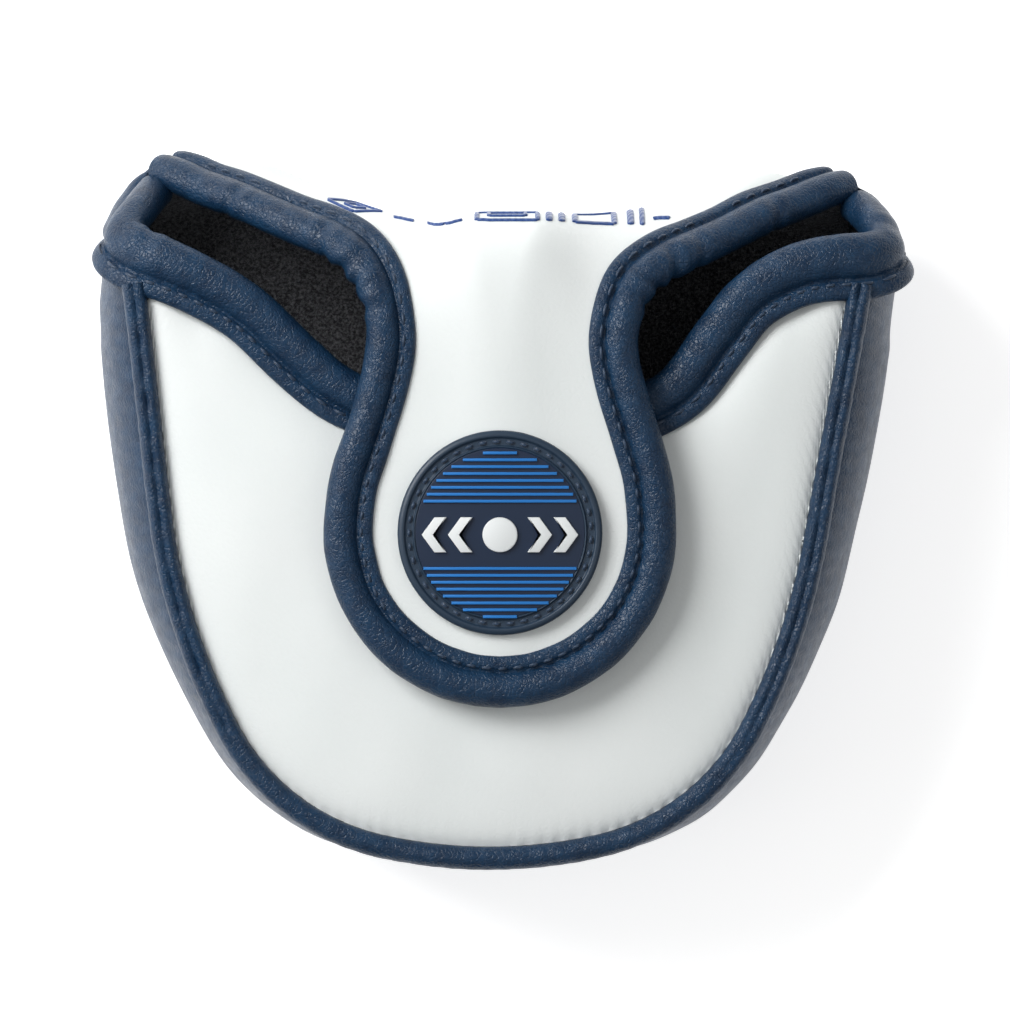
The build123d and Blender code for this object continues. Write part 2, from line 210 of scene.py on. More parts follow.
def u_curve(bottom, arcs, inset, top, count):
    """Whole U from the left top round to the right top: arcs of circles, each tangent to the last."""
    point, heading, half = np.array([0.0, bottom + inset]), 0.0, []
    for radius, turn in arcs:
        swing = heading + np.radians(np.linspace(0, turn, 60))
        centre = point + (radius - inset) * np.array([-np.sin(heading), np.cos(heading)])
        half.append(centre + (radius - inset) * np.stack([np.sin(swing), -np.cos(swing)], axis=1))
        point, heading = half[-1][-1], swing[-1]
    run = (top - point[1]) / math.sin(heading)
    half.append(point + np.linspace(0, run, 60)[:, None] * [math.cos(heading), math.sin(heading)])
    half = np.concatenate(half)
    whole = even(np.concatenate([half[::-1] * [-1, 1], half]), count)
    whole[:, 0] = whole[:, 0] * WIDEN + LEAN * (1.0 - 0.72 * smoothstep((whole[:, 1] + 10.0) / 55.0))
    return whole


def frames(path, normals):
    """Tangent, surface normal and sideways direction at each point of a path."""
    tangent = unit(np.gradient(path, axis=0))
    normal = unit(normals - tangent * np.sum(normals * tangent, axis=1, keepdims=True))
    return tangent, normal, np.cross(tangent, normal)


def settle(values, span):
    """Moving average along the rows, with the ends held."""
    padded = np.pad(values, ((span, span), (0, 0)), mode="edge")
    total = np.cumsum(np.pad(padded, ((1, 0), (0, 0))), axis=0)
    return (total[2 * span + 1:] - total[:-2 * span - 1]) / (2 * span + 1)


def distance(plan, line):
    """Distance from each point of a plan to the nearest point of a line."""
    flat = plan.reshape(-1, 1, 2)
    near = [np.sqrt(((some - line[None]) ** 2).sum(-1)).min(axis=1) for some in np.array_split(flat, 24)]
    return np.concatenate(near).reshape(plan.shape[:-1])


def ripple(values, seed, waves, shortest, longest):
    """Smooth uneven wave along one or more coordinates: a few sines of random length and phase."""
    rng = np.random.default_rng(seed)
    total = np.zeros(values.shape[:-1])
    for _ in range(waves):
        direction = unit(rng.normal(size=values.shape[-1]))
        length = rng.uniform(shortest, longest)
        total = total + np.sin(values @ direction * (2 * math.pi / length) + rng.uniform(0, 2 * math.pi))
    return total / math.sqrt(waves)


def grid_normals(grid):
    """Unit normals of a surface given as rows and columns of points."""
    return unit(np.cross(np.gradient(grid, axis=0), np.gradient(grid, axis=1)))


# ------------------------------------------------------------------ meshes

def grid_faces(rows, cols, wrap_cols=False):
    """Four-sided faces between neighbouring points of a grid, as indices of its points row by row."""
    r, c = np.meshgrid(np.arange(rows - 1), np.arange(cols - (not wrap_cols)), indexing="ij")
    r2, c2 = r + 1, (c + 1) % cols
    corners = [r * cols + c, r2 * cols + c, r2 * cols + c2, r * cols + c2]
    return np.stack(corners, axis=-1).reshape(-1, 4)


def join(parts):
    """One list of points and one of faces from several."""
    points, faces, start = [], [], 0
    for part_points, part_faces in parts:
        points.append(part_points.reshape(-1, 3))
        faces.append(part_faces + start)
        start += len(points[-1])
    return np.concatenate(points), np.concatenate(faces)


def weld(points, faces):
    """Merges points that coincide, so poles and seams are closed, and drops faces with no area."""
    _, first, back = np.unique(np.round(points, 4), axis=0, return_index=True, return_inverse=True)
    faces = back.reshape(-1)[faces]
    whole = (faces != np.roll(faces, 1, axis=1)).all(axis=1)
    whole &= (faces[:, 0] != faces[:, 2]) & (faces[:, 1] != faces[:, 3])
    clean = faces[whole].tolist()
    for face in faces[~whole].tolist():
        corners = list(dict.fromkeys(face))
        if len(corners) > 2:
            clean.append(corners)
    return points[first], clean


def outward(points, faces):
    """Turns every face over if the closed surface encloses a negative volume."""
    volume = 0.0
    for size in (3, 4):
        some = np.array([f for f in faces if len(f) == size])
        if len(some):
            a = points[some[:, 0]]
            for i in range(1, size - 1):
                volume += np.sum(a * np.cross(points[some[:, i]], points[some[:, i + 1]]))
    return [face[::-1] for face in faces] if volume < 0 else faces


def make_piece(name, parts, material, sharp=50.0):
    """Writes the welded surface in metres, smooth apart from folds sharper than `sharp` degrees."""
    points, faces = weld(*join(parts))
    faces = outward(points, faces)
    mesh = bpy.data.meshes.new(name)
    mesh.from_pydata((points * MM).tolist(), [], faces)
    mesh.update()
    mesh.shade_smooth()
    mesh.set_sharp_from_angle(angle=math.radians(sharp))
    mesh.materials.append(material)
    piece = bpy.data.objects.new(name, mesh)
    bpy.context.scene.collection.objects.link(piece)
    return piece


def shell(top, bottom):
    """Closed sheet between two grids of the same size: both faces and the four edges."""
    rows, cols = top.shape[:2]
    count = rows * cols
    sides = np.concatenate([top.reshape(-1, 3), bottom.reshape(-1, 3)])
    upper = grid_faces(rows, cols)
    r, c = np.arange(rows - 1), np.arange(cols - 1)
    loops = (
        (r * cols, (r + 1) * cols),
        ((r + 1) * cols + cols - 1, r * cols + cols - 1),
        (c + 1, c),
        ((rows - 1) * cols + c, (rows - 1) * cols + c + 1),
    )
    edges = [np.stack([b, a, a + count, b + count], axis=1) for a, b in loops]
    return [(sides, np.concatenate([upper, upper[:, ::-1] + count] + edges))]


def sweep(path, side, normal, profile):
    """Closed tube: a profile (across, up) for each point of the path, ends drawn in to a point."""
    across, up = profile[..., 0], profile[..., 1]
    body = path[:, None] + side[:, None] * across[..., None] + normal[:, None] * up[..., None]
    ends = [np.repeat(body[i].mean(axis=0)[None], body.shape[1], axis=0)[None] for i in (0, -1)]
    grid = np.concatenate([ends[0], body, ends[1]])
    return [(grid.reshape(-1, 3), grid_faces(*grid.shape[:2], wrap_cols=True))]


# ------------------------------------------------------------------ shapes shared by several pieces

def disc_rows():
    """Rows across the round end of the flap, as angles up its circle, ending at the bottom point."""
    turn = np.radians(np.linspace(90, 0, DISC_STEPS))
    x, y = DISC_RADIUS * np.sin(turn), DISC_CENTRE - DISC_RADIUS * np.cos(turn)
    rise = 0.9 * smoothstep((y - DISC_CENTRE + DISC_RADIUS) / 10.0)
    return [((-a, b, DISC_Z), (a, b, DISC_Z), (b, c)) for a, b, c in zip(x, y, DISC_Z + LEATHER_LIFT + rise)]


def u_rows():
    """Rows across the flat back, from the bottom point up the U."""
    whole = u_curve(PANEL_BOTTOM, PANEL_ARCS, 0.0, 34.0, 21)
    pairs = list(zip(whole[:11][::-1], whole[10:]))[:-1]
    return [((a[0], a[1], 0.7), (b[0], b[1], 0.7), (a[1], 0.2)) for a, b in pairs]


def sheet_rows(count):
    """Left edge, right edge and middle of evenly spread rows, and where the rim and crest rows fall."""
    knots = u_rows() + list(RIM_ROWS) + list(CREST_ROWS) + list(NECK_ROWS) + disc_rows()
    table = np.array([list(left) + list(right) + [0.0, *middle] for left, right, middle in knots])
    along = np.arange(len(table), dtype=float)
    right, middle = (np.diff(chord_places(table[:, start:start + 3])) for start in (3, 6))
    pace = np.r_[0.0, np.cumsum(np.maximum(right, middle))]
    at = np.interp(np.linspace(0, pace[-1], count), pace, along)
    first_crest = len(u_rows()) + len(RIM_ROWS)
    return cubic(table, along, at), at - first_crest


def sheet_grid(rows, cols):
    """Surface of the cover sheet. Across a row x runs evenly; y and z hold the middle's value, then ease
    to the edge's by a smoothstep of the distance from the middle."""
    table, crest = sheet_rows(rows)
    u = np.linspace(-1, 1, cols)[None, :]
    upper = smoothstep((crest - 6.0) / 5.0)[:, None]
    ease = smoothstep((np.abs(u) - 0.24 * (1 - upper)) / (0.64 + 0.30 * upper))[..., None]
    left, right, middle = table[:, None, 0:3], table[:, None, 3:6], table[:, None, 6:9]
    edge = np.where(u[..., None] < 0, left, right)
    grid = middle * (1 - ease) + edge * ease
    grid[..., 0] = np.abs(u) * edge[..., 0]
    behind = smoothstep((0.93 - np.abs(u)) / 0.16) * np.exp(-((crest + 0.5) / 2.2) ** 2)[:, None]
    behind = behind * np.exp(-((np.abs(u) - 0.72) / 0.26) ** 2)
    grid[..., 1] += 2.6 * behind
    dip = smoothstep((crest + 1.0) / 3.0) * smoothstep((14.5 - crest) / 3.0)
    grid[..., 1] -= 0.9 * dip[:, None] * np.exp(-((grid[..., 0] + 12.0) / 5.0) ** 2)
    raised = smoothstep(crest / 2 + 0.8)[:, None] * smoothstep((np.abs(u) - 0.3) / 0.6)
    return grid + edge_normals(crest)[:, None] * (LEATHER_LIFT * raised)[..., None], crest


def edge_normals(crest):
    """Which way the leather faces along its padded edge, by crest row: back on the shoulder, then up."""
    places = np.array([-30.0, -3.0, 0.0, 2.0, 4.0, 6.0, 7.0, 8.0, 9.0, 11.0, 40.0])
    back = np.array([1.0, 0.95, 0.80, 0.74, 0.66, 0.46, 0.30, 0.14, 0.04, 0.0, 0.0])
    y = np.interp(crest, places, back)
    return unit(np.stack([np.zeros_like(y), y, 1.02 - 0.6 * y], axis=1))


def edge_path(count):
    """Centre line of the padded edge from the left corner round the disc to the right corner, with the
    direction that its leather faces."""
    table, crest = sheet_rows(900)
    keep = crest >= -0.15
    normals = edge_normals(crest[keep])
    left, right = table[keep, 0:3], table[keep, 3:6]
    whole = np.concatenate([np.c_[left, normals], np.c_[right, normals][-2::-1]])
    return even(whole, count)


def roll_profile(half_width, height, flange, samples=72):
    """Section of a padded binding. An ellipse for the roll, then a groove where it is sewn, then a thin
    flange with a rounded tip. Across is measured from the roll's middle towards the opening."""
    top = np.radians(np.linspace(154, -160, samples - 16))
    roll = np.stack([half_width * np.cos(top), height * np.sin(top)], axis=1)
    w = half_width
    under = [(-w - 0.3, -0.3), (-w - 1.2, 0.1), (-w - flange + 0.3, 0.4)]
    tip = [(-w - flange - 0.1, 0.75), (-w - flange - 0.12, 1.25), (-w - flange + 0.2, 1.7)]
    over = [(-w - flange + 0.9, 1.98), (-w - 0.75, 2.0), (-w - 0.3, 1.72), (-w - 0.02, 1.38)]
    outline = np.concatenate([roll, under, tip, over, roll[:1]])
    return even(smooth_curve(np.c_[outline, np.zeros(len(outline))], 4 * samples), samples + 1)[:-1, :2]


def crumple(path, profile, seed, amount, creases=()):
    """Makes each section of a roll a little uneven: slow swelling along it, small folds across it, and
    sharp creases at given places (distance along, width, depth, side)."""
    place = chord_places(path)
    swell = 1.0 + 0.010 * ripple(place[:, None], seed, 5, 9.0, 31.0)
    angle = np.arctan2(profile[:, 1], profile[:, 0])
    ring = np.stack([np.cos(angle), np.sin(angle)], axis=1) * 4.0
    spots = np.concatenate([np.repeat(place[:, None, None], len(profile), axis=1),
                            np.repeat(ring[None], len(place), axis=0)], axis=2)
    fold = ripple(spots, seed + 1, 12, 2.6, 7.5)
    fold = amount * np.tanh(1.4 * fold)
    on_roll = smoothstep((profile[:, 0] + 3.2) / 1.5)
    radius = np.maximum(np.linalg.norm(profile, axis=1), 1e-6)
    scale = swell[:, None] + fold * on_roll / radius
    for where, width, depth, lean in creases:
        line = (place[:, None] - where - lean * np.sin(angle)[None, :]) / width
        valley = np.exp(-line ** 2) - 0.35 * np.exp(-((np.abs(line) - 1.7) / 0.8) ** 2)
        facing = smoothstep(np.cos(angle - 0.35) + 0.5)
        scale = scale - 0.5 * depth * valley * facing[None, :] / radius
    return profile[None] * scale[..., None]


def read_path(at, place, values):
    """Three columns given along a path, read at other distances along it."""
    return np.stack([np.interp(at, place, values[:, i]) for i in range(3)], axis=-1)


def stitches(path, side, normal, across, up, pitch, length, radius, skip=0.0):
    """Thread over a seam: each stitch is a fat tube whose middle stands proud and whose ends dive into
    the leather by the square of the distance from its middle."""
    place = chord_places(path)
    count = int((place[-1] - 2 * skip) / pitch)
    centre = skip + (np.arange(count) + 0.5) * ((place[-1] - 2 * skip) / count)
    along = np.linspace(-0.5, 0.5, 9)
    at = centre[:, None] + along[None, :] * length
    base, b, n = (read_path(at, place, values) for values in (path, side, normal))
    b, n = unit(b), unit(n)
    sag = radius * 2.2 * (2 * along) ** 2
    beside = np.interp(at, place, np.broadcast_to(across, place.shape))[..., None]
    line = base + b * beside + n * (up - sag)[None, :, None]
    ring = np.linspace(0, 2 * math.pi, 9)[:-1]
    thick = radius * np.sqrt(np.clip(1 - (2 * along) ** 6, 0.0, 1.0))
    twist = 1 + 0.10 * np.cos(2 * ring[None, :] - 11 * along[:, None])
    size = thick[:, None] * twist
    tube = (line[:, :, None] + b[:, :, None] * (size * np.cos(ring))[None, :, :, None]
            + n[:, :, None] * (size * np.sin(ring))[None, :, :, None])
    faces = grid_faces(9, 8, wrap_cols=True)
    offsets = np.arange(count)[:, None, None] * 72
    return [(tube.reshape(-1, 3), (faces[None] + offsets).reshape(-1, 4))]


def bend_piece(piece, side=None):
    """Bakes the piece's transform into its mesh; a side, if given, changes nothing."""
    if side:
        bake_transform(piece)
    else:
        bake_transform(piece)


# ------------------------------------------------------------------ materials

class Shader:
    """Builds a material by adding nodes and joining them."""

    def __init__(self, name, colour, roughness, **constants):
        self.material = bpy.data.materials.new("cover_" + name)
        self.material["finish"] = name
        self.material.use_nodes = True
        self.tree = self.material.node_tree
        self.surface = self.tree.nodes["Principled BSDF"]
        self.set("Base Color", (*colour, 1.0))
        self.set("Roughness", roughness)
        for socket, value in constants.items():
            self.set(socket.replace("_", " "), value)

    def set(self, socket, value):
        self.surface.inputs[socket].default_value = value

    def node(self, kind, values=(), **settings):
        node = self.tree.nodes.new("ShaderNode" + kind)
        for key, value in settings.items():
            setattr(node, key, value)
        for key, value in dict(values).items():
            if isinstance(value, bpy.types.NodeSocket):
                self.tree.links.new(value, node.inputs[key])
            else:
                node.inputs[key].default_value = value
        return node

    def place(self):
        return self.node("TexCoord").outputs["Object"]

    def noise(self, scale, detail=3.0, rough=0.5):
        values = {"Vector": self.place(), "Scale": scale, "Detail": detail, "Roughness": rough}
        return self.node("TexNoise", values).outputs["Fac"]

    def cells(self, scale, wobble):
        """Distance to the nearest border between random cells, whose borders waver."""
        vector = self.place()
        noise = self.node("TexNoise", {"Vector": vector, "Scale": scale * 0.6, "Detail": 2.0})
        values = {0: noise.outputs["Color"], "Scale": wobble / scale}
        shift = self.node("VectorMath", values, operation="SCALE").outputs["Vector"]
        vector = self.node("VectorMath", {0: vector, 1: shift}, operation="ADD").outputs["Vector"]
        values = {"Vector": vector, "Scale": scale, "Randomness": 1.0}
        return self.node("TexVoronoi", values, feature="DISTANCE_TO_EDGE").outputs["Distance"]

    def ramp(self, value, low, high, start=0.0, end=1.0):
        values = {"Value": value, "From Min": low, "From Max": high, "To Min": start, "To Max": end}
        return self.node("MapRange", values).outputs["Result"]

    def colours(self, value, first, second):
        ramp = self.node("ValToRGB", {"Fac": value})
        ramp.color_ramp.elements[0].color = (*first, 1.0)
        ramp.color_ramp.elements[1].color = (*second, 1.0)
        self.tree.links.new(ramp.outputs["Color"], self.surface.inputs["Base Color"])

    def bump(self, height, depth_mm, strength=1.0, after=None):
        values = {"Height": height, "Distance": depth_mm * MM, "Strength": strength}
        if after is not None:
            values["Normal"] = after
        return self.node("Bump", values).outputs["Normal"]

    def finish(self, normal=None, roughness=None):
        if normal is not None:
            self.tree.links.new(normal, self.surface.inputs["Normal"])
        if roughness is not None:
            self.tree.links.new(roughness, self.surface.inputs["Roughness"])
        return self.material


def white_leather():
    """Smooth pale leather with a faint pebble and softly uneven gloss."""
    s = Shader("white_leather", (0.84, 0.875, 0.865), 0.5, Specular_IOR_Level=0.42)
    pebble = s.ramp(s.cells(900.0, wobble=0.6), 0.0, 0.25)
    normal = s.bump(pebble, 0.035, 0.5)
    normal = s.bump(s.noise(2600.0, 3.0), 0.02, 0.35, normal)
    s.colours(s.ramp(s.noise(28.0, 3.0), 0.3, 0.7), (0.82, 0.86, 0.85), (0.865, 0.895, 0.885))
    return s.finish(normal, s.ramp(s.noise(90.0), 0.3, 0.7, 0.44, 0.56))


def navy_leather(name="navy_leather", crinkle=0.05):
    """Dark blue leather: creased into small facets with a fine grain, with a painted highlight: its colour
    is lighter where its broad bump rises.
    """
    s = Shader(name, (0.008, 0.033, 0.080), 0.36, Specular_IOR_Level=0.36)
    crease = s.ramp(s.cells(1250.0, wobble=1.1), 0.0, 0.16)
    fold = s.ramp(s.cells(520.0, wobble=1.3), 0.0, 0.10)
    wide = s.noise(300.0, 4.0, 0.6)
    normal = s.bump(wide, 0.35, 0.3)
    normal = s.bump(fold, crinkle, 0.6, normal)
    normal = s.bump(crease, crinkle, 0.8, normal)
    normal = s.bump(s.noise(3600.0, 2.0), 0.02, 0.45, normal)
    # painted highlight: the base colour follows the broad bump's height and is lighter on its ridges
    s.colours(s.ramp(wide, 0.32, 0.7), (0.005, 0.023, 0.058), (0.010, 0.042, 0.096))
    return s.finish(normal, s.ramp(s.noise(420.0), 0.3, 0.7, 0.30, 0.42))


def black_fleece():
    """Deep dark pile: clumps of fibre, with a painted grey sheen on the fibre tips where the fine bump is
    high.
    """
    s = Shader("black_fleece", (0.012, 0.012, 0.014), 0.95, Specular_IOR_Level=0.1, Sheen_Weight=0.8,
               Sheen_Roughness=0.5)
    s.set("Sheen Tint", (0.55, 0.57, 0.62, 1.0))
    clump = s.noise(420.0, 5.0, 0.7)
    fibre = s.noise(1900.0, 4.0, 0.7)
    normal = s.bump(clump, 1.2, 0.9)
    normal = s.bump(fibre, 0.4, 0.9, normal)
    # painted sheen: the colour turns grey where the fine fibre bump is high
    s.colours(s.ramp(fibre, 0.42, 0.70), (0.014, 0.014, 0.017), (0.26, 0.265, 0.28))
    return s.finish(normal)


def thread(name, colour):
    """Twisted polyester thread."""
    s = Shader(name, colour, 0.45, Specular_IOR_Level=0.5, Sheen_Weight=0.2)
    return s.finish(s.bump(s.noise(5200.0, 2.0), 0.03, 0.6))


def rubber(name, colour, roughness=0.42):
    """Moulded soft plastic with a barely uneven skin."""
    s = Shader(name, colour, roughness, Specular_IOR_Level=0.5)
    return s.finish(s.bump(s.noise(1400.0, 2.0), 0.015, 0.4))


def satin_stitch():
    """Embroidery: close parallel threads of bright blue, each one rounded."""
    s = Shader("embroidery", (0.012, 0.060, 0.24), 0.4, Specular_IOR_Level=0.5, Sheen_Weight=0.3)
    values = {"Vector": s.place(), "Scale": 520.0, "Distortion": 0.6}
    wave = s.node("TexWave", values, bands_direction="DIAGONAL")
    return s.finish(s.bump(wave.outputs["Fac"], 0.12, 0.9))


def plain(name, colour, roughness, **constants):
    """One even colour with a very fine grain."""
    s = Shader(name, colour, roughness, **constants)
    return s.finish(s.bump(s.noise(900.0), 0.02, 0.3))


PAINT = {}


def finishes():
    """Every material once, by name."""
    if not PAINT:
        made = [white_leather(), navy_leather(), navy_leather("navy_roll", 0.075), black_fleece(),
                satin_stitch(), thread("navy_thread", (0.018, 0.042, 0.085)),
                rubber("navy_rubber", (0.018, 0.038, 0.068)), rubber("blue_rubber", (0.012, 0.18, 0.55)),
                rubber("deep_rubber", (0.006, 0.018, 0.048)), rubber("white_rubber", (0.80, 0.83, 0.83)),
                plain("magnet_steel", (0.55, 0.55, 0.57), 0.35, Metallic=1.0)]
        PAINT.update({material["finish"]: material for material in made})
    return PAINT


# ------------------------------------------------------------------ pieces

def thick_sheet(grid, outer, inner):
    """Closed sheet between two depths under a surface. Where its rows run together into a point, those
    near it face straight down at the first end and straight up at the last."""
    normal = grid_normals(grid)
    for end, facing in ((slice(0, POLE_ROWS), DOWN), (slice(-POLE_ROWS, None), UP)):
        first, last = (np.linalg.norm(grid[end][k, 0] - grid[end][k, -1]) for k in (0, -1))
        if first * last < POLE_WIDTHS:
            normal[end] = facing
    return shell(grid - normal * outer, grid - normal * inner)


def cover_sheet(settings):
    """Grid of the cover sheet, the row where the neck begins, and its columns on either side."""
    rows, cols = int(settings.fineness * 330), int(settings.fineness * 190)
    grid, crest = sheet_grid(rows, 2 * cols + 1)
    split = int(np.searchsorted(crest, SPLIT_ROW))
    return grid, split, cols


def build_sheets(settings):
    """Leather with its foam, and the fleece under it: the same surface at two depths, cut where the neck
    begins and, below that, along the middle."""
    paint = finishes()
    grid, split, cols = cover_sheet(settings)
    skin, pile = settings.leather_foam, settings.leather_foam + settings.fleece
    halves = (("left", slice(0, cols + 1)), ("right", slice(cols, None)))
    for side, part in halves:
        lower = grid[:split + 1, part]
        leather = make_piece("back_leather_" + side, thick_sheet(lower, 0.0, skin),
                             paint["white_leather"])
        bend_piece(leather, side)
        inner = lower[:, 2:] if side == "left" else lower[:, :-2]
        lining = make_piece("back_fleece_" + side, thick_sheet(inner, skin + LAYER_GAP, pile),
                            paint["black_fleece"])
        bend_piece(lining, side)
    upper = grid[split:]
    flap = make_piece("flap_leather", thick_sheet(upper, 0.0, skin),
                      paint["white_leather"])
    bend_piece(flap)
    inner = upper[:-4, 6:-6]
    lining = make_piece("flap_fleece", thick_sheet(inner, skin + LAYER_GAP, pile),
                        paint["black_fleece"])
    bend_piece(lining)
    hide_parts("back_panel", "back_foam")
    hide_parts("back_lining")
    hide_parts("flap_panel", "flap_foam", "neck_panel", "neck_foam")
    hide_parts("flap_lining", "neck_lining")


def mouth_path(count):
    """Middle line of the mouth's roll from the right corner to the left one, which way it faces, and its
    half width. It faces up along the front and turns outwards where it goes down round each corner."""
    knots = np.array(MOUTH_RIGHT[::-1] + MOUTH_LEFT[1:])
    line = smooth_curve(knots, count)
    path, width = line[:, :3], line[:, 3]
    turn = smoothstep((39.0 - path[:, 2]) / 9.0)
    normals = np.stack([np.sign(path[:, 0]) * 0.93 * turn, 0.14 * turn, 1.0 - 0.72 * turn], axis=1)
    return path, unit(normals), width


def front_grid(settings):
    """Front panel: straight lines from the U to the mouth. It is lower beside the piping, by an
    exponential of the distance to the U, with a tight turn-down at the seam."""
    rows, cols = int(settings.fineness * 200), int(settings.fineness * 330)
    low = u_curve(PANEL_BOTTOM, PANEL_ARCS, 0.0, 38.0, cols)
    path, _, width = mouth_path(1400)
    tangent = unit(np.gradient(path[:, :2], axis=0))
    away = np.stack([-tangent[:, 1], tangent[:, 0]], axis=1)
    seam = path[:, :2] + away * (width + 1.6)[:, None]
    keep = (np.abs(seam[:, 0]) < 62.6) & (path[:, 2] > 37.0)
    top = even(seam[keep][::-1], cols)
    v = np.linspace(0, 1, rows)[:, None, None]
    plan = low[None] * (1 - v) + top[None] * v
    far = distance(plan, u_curve(PANEL_BOTTOM, PANEL_ARCS, 0.0, 48.0, 260))
    height = FRONT_Z - 2.4 * np.exp(-far / 13.0) - 0.9 * np.exp(-far / 1.4)
    height = height - 2.7 * np.exp(-distance(plan, even(top, 200)) / 4.2) * smoothstep(far / 9.0)
    pucker = 0.10 * np.sin(np.arange(cols) * (2 * math.pi / (3.2 * cols / 297.0)))
    height = height + pucker[None] * np.exp(-far / 1.8)
    grid = np.concatenate([plan, height[..., None]], axis=2)
    grid[..., 2] += 0.16 * ripple(grid, 31, 7, 18.0, 50.0) * smoothstep(far / 12.0)
    return grid


def build_front(settings):
    """Leather with its foam, and the fleece straight under it, which ends short of the seam all round."""
    paint = finishes()
    grid = front_grid(settings)[:, ::-1]
    skin, pile = settings.leather_foam, settings.leather_foam + settings.fleece
    if grid_normals(grid)[len(grid) // 2, grid.shape[1] // 2, 2] < 0:
        grid = grid[:, ::-1]
    leather = make_piece("front_leather", thick_sheet(grid, 0.0, skin),
                         paint["white_leather"])
    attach(leather, "pouch")
    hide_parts("front_panel", "front_foam")
    short = grid.shape[1] // 40
    inner = grid[6:-2, short:-short]
    layers = [inner - np.array([0.0, 0.0, depth]) for depth in (skin + LAYER_GAP, pile)]
    lining = make_piece("front_fleece", shell(*layers), paint["black_fleece"])
    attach(lining, "pouch")
    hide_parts("front_lining")


def band_edges(count):
    """The side band's two long edges: under the front piping and up beside the mouth's roll, and round
    the back and up the rim to the corner."""
    front = u_curve(PANEL_BOTTOM, PANEL_ARCS, -1.9, 37.0, 500)
    front = np.c_[front, np.full(500, PIPING_Z - 1.2)]
    roll = {}
    for side, knots in (("left", MOUTH_LEFT), ("right", MOUTH_RIGHT)):
        roll[side] = np.array([k[:3] for k in knots if k[2] < 38.6 and abs(k[0]) > 60.5])
        roll[side] = roll[side] + np.array([0.0, -1.0, -1.5])
    front = np.concatenate([roll["left"][::-1], front, roll["right"]])
    back = u_curve(PANEL_BOTTOM, PANEL_ARCS, -1.0, 33.0, 500)
    back = np.c_[back, np.full(500, 2.4)]
    rims = np.array([[*row[0], *row[1]] for row in RIM_ROWS + CREST_ROWS[:1]])
    left, right = rims[:, :3] + [-0.6, 0, 0.4], rims[:, 3:] + [0.6, 0, 0.4]
    back = np.concatenate([left[::-1], back, right])
    return tuple(smooth_curve(even(edge, 160), count) for edge in (front, back))


def band_grid(settings):
    """Side band: from one edge to the other it swells outwards as a power of a sine, most at the sides and
    least at the bottom, and is gathered into small pleats beside the front piping."""
    cols, rows = int(settings.fineness * 620), int(settings.fineness * 90)
    front, back = band_edges(cols)
    out = (front + back) / 2 - np.array([0.0, 4.0, 20.0])
    out[:, 2] = 0.0
    tangent = unit(settle(np.gradient((front + back)[:, :2], axis=0), cols // 24))
    outward = np.stack([tangent[:, 1], -tangent[:, 0], np.zeros(cols)], axis=1)
    flip = np.sign(np.sum(outward * out, axis=1))
    outward = outward * flip[:, None]
    place = chord_places((front + back) / 2)
    share = np.abs(place / place[-1] - 0.5) * 2
    swell = cubic(np.array(SWELL)[:, 1:], np.array(SWELL)[:, 0], share)[:, 0]
    bulge = settings.side_bulge * swell
    v = np.linspace(0, 1, rows)[:, None]
    arch = np.sin(math.pi * v) ** 0.62
    grid = front[None] * (1 - v[..., None]) + back[None] * v[..., None]
    grid = grid + outward[None] * (bulge[None] * arch)[..., None]
    pleat = np.sin(place * (2 * math.pi / 3.2) + 1.2 * np.sin(place / 9.0))
    depth = 0.14 * np.exp(-((v - 0.13) / 0.10) ** 2) + 0.10 * np.exp(-((v - 0.9) / 0.08) ** 2)
    grid = grid + outward[None] * (pleat[None] * depth)[..., None]
    wave = 0.16 * ripple(grid, 47, 8, 9.0, 34.0) * np.sin(math.pi * v) ** 0.5
    return grid + outward[None] * wave[..., None]


def build_side(settings):
    """Leather of the side band and the fleece inside it, which ends short of both corners."""
    paint = finishes()
    grid = band_grid(settings)
    normal = grid_normals(grid)
    middle = grid.shape[1] // 2
    if normal[len(grid) // 2, middle, 1] > 0:
        grid = grid[:, ::-1]
    band = make_piece("side_leather", thick_sheet(grid, 0.0, 1.2), paint["navy_leather"])
    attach(band, "pouch")
    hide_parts("gusset", "corner_gore_left", "corner_gore_right")
    inner = grid[:, grid.shape[1] // 40:-(grid.shape[1] // 40)]
    lining = make_piece("side_fleece", thick_sheet(inner, 1.22, 2.9), paint["black_fleece"])
    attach(lining, "pouch")
    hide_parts("gusset_lining")


def piping_section(samples, notch):
    """Round cord in folded leather: a circle with a shallow valley, given per row, along its top."""
    ring = np.linspace(0, 2 * math.pi, samples, endpoint=False)
    dip = np.exp(-((ring - math.pi / 2) / 0.34) ** 2)
    radius = 1.0 - notch[:, None] * dip[None] + 0.06 * notch[:, None] * np.cos(2 * ring)[None]
    return np.stack([np.cos(ring)[None] * radius, np.sin(ring)[None] * radius], axis=-1)


